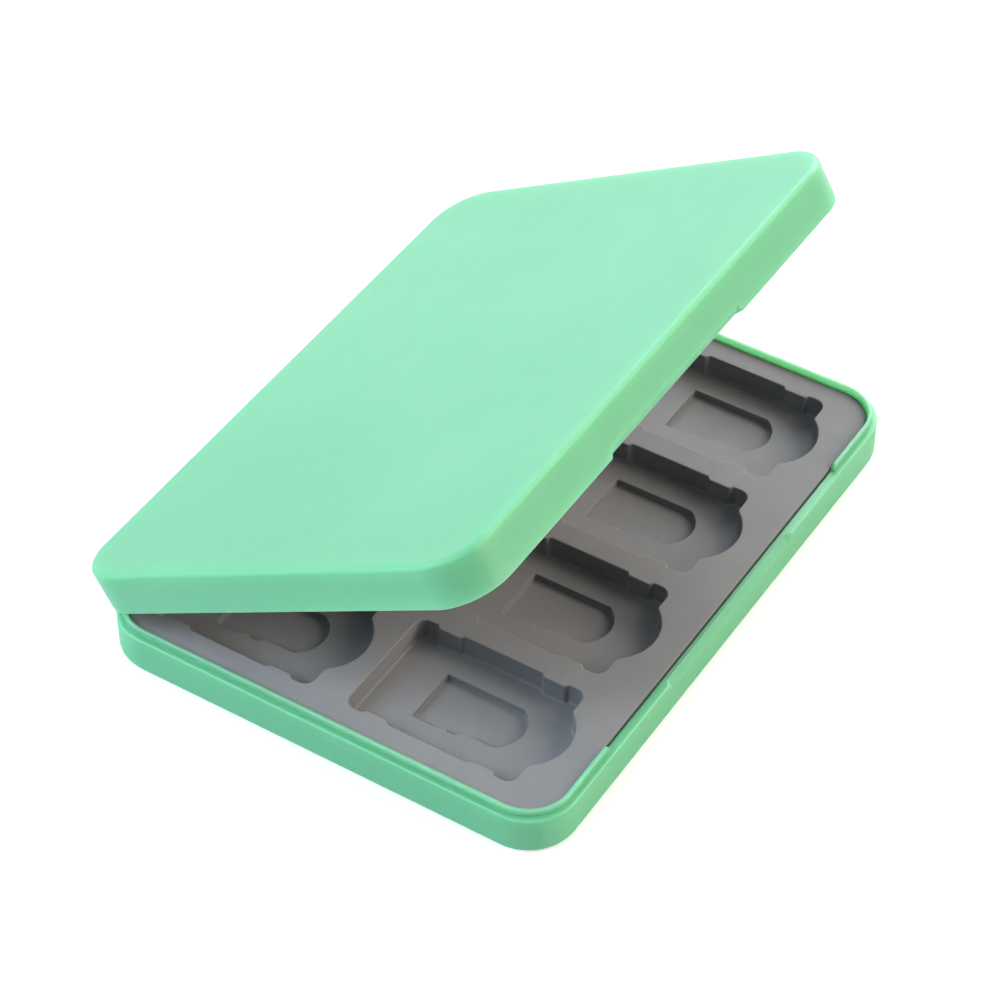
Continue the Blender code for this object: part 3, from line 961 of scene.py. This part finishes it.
table_paper, paper_tree, paper = new_material("white_paper")
paper.inputs["Base Color"].default_value = (0.86, 0.86, 0.86, 1)
paper.inputs["Roughness"].default_value = 0.9
paper.inputs["Specular IOR Level"].default_value = 0.1
lift = node(paper_tree, "ShaderNodeEmission", Color=(1, 1, 1, 1), Strength=0.47)
seen = node(paper_tree, "ShaderNodeLightPath")
pick = node(paper_tree, "ShaderNodeMixShader")
both = node(paper_tree, "ShaderNodeAddShader")
link(paper_tree, paper.outputs["BSDF"], both.inputs[0])
link(paper_tree, lift.outputs["Emission"], both.inputs[1])
link(paper_tree, seen.outputs["Is Camera Ray"], pick.inputs["Fac"])
link(paper_tree, paper.outputs["BSDF"], pick.inputs[1])
link(paper_tree, both.outputs["Shader"], pick.inputs[2])
link(paper_tree, pick.outputs["Shader"], paper_tree.nodes["Material Output"].inputs["Surface"])
table.materials.append(table_paper)

# Light
# A white studio with nine soft lamps round the case: warm ones in front and
# at the right, and cool ones behind it and at the left.

world = bpy.data.worlds.new("room")
bpy.context.scene.world = world
world.use_nodes = True
room_tree = world.node_tree
room = room_tree.nodes["Background"]
room.inputs["Color"].default_value = (0.93, 0.97, 1.0, 1)
room.inputs["Strength"].default_value = 0.03
white = node(room_tree, "ShaderNodeBackground", Color=(1, 1, 1, 1), Strength=1.0)
seen = node(room_tree, "ShaderNodeLightPath")
either = node(room_tree, "ShaderNodeMath", operation="MAXIMUM")
any_ray = node(room_tree, "ShaderNodeMath", operation="MAXIMUM")
link(room_tree, seen.outputs["Is Camera Ray"], either.inputs[0])
link(room_tree, seen.outputs["Is Glossy Ray"], either.inputs[1])
link(room_tree, either.outputs["Value"], any_ray.inputs[0])
link(room_tree, seen.outputs["Is Transmission Ray"], any_ray.inputs[1])
pick = node(room_tree, "ShaderNodeMixShader")
link(room_tree, any_ray.outputs["Value"], pick.inputs["Fac"])
link(room_tree, room.outputs["Background"], pick.inputs[1])
link(room_tree, white.outputs["Background"], pick.inputs[2])
link(room_tree, pick.outputs["Shader"], room_tree.nodes["World Output"].inputs["Surface"])

lamp_aim = Vector((0, 0, 0.01))


def lamp(name, turn, height, distance, size, colour, power):
    """A soft square lamp that faces the case, its turn and its height given as
    angles. A turn of 0 is in front of the case, and 90 is at its right."""
    turn = math.radians(turn)
    height = math.radians(height)
    light = bpy.data.lights.new(name, "AREA")
    light.size = size
    light.color = colour
    light.energy = power
    stand = bpy.data.objects.new(name, light)
    stand.location = (distance * math.sin(turn) * math.cos(height),
                      -distance * math.cos(turn) * math.cos(height),
                      distance * math.sin(height))
    stand.rotation_euler = (lamp_aim - stand.location).to_track_quat("-Z", "Y").to_euler()
    bpy.context.scene.collection.objects.link(stand)


lamp("front_lamp", turn=10, height=18, distance=1.6, size=0.8, colour=(1.0, 0.87, 0.74), power=8.6)
lamp("front_right_lamp", turn=35, height=35, distance=1.6, size=0.9, colour=(1.0, 0.87, 0.74), power=11.6)
lamp("right_low_lamp", turn=85, height=22, distance=1.6, size=0.8, colour=(1.0, 0.9, 0.79), power=9.7)
lamp("right_high_lamp", turn=85, height=35, distance=1.6, size=0.9, colour=(1.0, 0.98, 0.96), power=1.4)
lamp("back_right_lamp", turn=110, height=30, distance=1.3, size=0.7, colour=(0.85, 0.92, 1.0), power=9.5)
lamp("back_low_lamp", turn=128, height=12, distance=0.7, size=0.5, colour=(0.92, 0.96, 1.0), power=0.83)
lamp("back_left_low_lamp", turn=215, height=8, distance=1.4, size=0.6, colour=(0.77, 0.89, 1.0), power=4.4)
lamp("back_left_lamp", turn=225, height=40, distance=1.6, size=0.9, colour=(0.74, 0.87, 1.0), power=18.8)
lamp("left_lamp", turn=265, height=55, distance=1.6, size=0.9, colour=(0.9, 0.95, 1.0), power=4.5)

# Camera
# At the photograph's place: above the case's left front corner, looking down
# across it through a long lens.

camera_place = Vector((-0.345096, -0.217719, 0.410468))
camera_aim = Vector((0.0008041, 0.0021573, 0.0083))
camera_roll = math.radians(-0.1709)
lens = bpy.data.cameras.new("camera")
lens.sensor_width = 36.0
lens.lens = 117.024
camera = bpy.data.objects.new("camera", lens)
look = (camera_aim - camera_place).to_track_quat("-Z", "Y").to_matrix().to_4x4()
camera.matrix_world = Matrix.Translation(camera_place) @ look @ Matrix.Rotation(camera_roll, 4, "Z")
bpy.context.scene.collection.objects.link(camera)
bpy.context.scene.camera = camera
bpy.context.scene.view_settings.view_transform = "Standard"
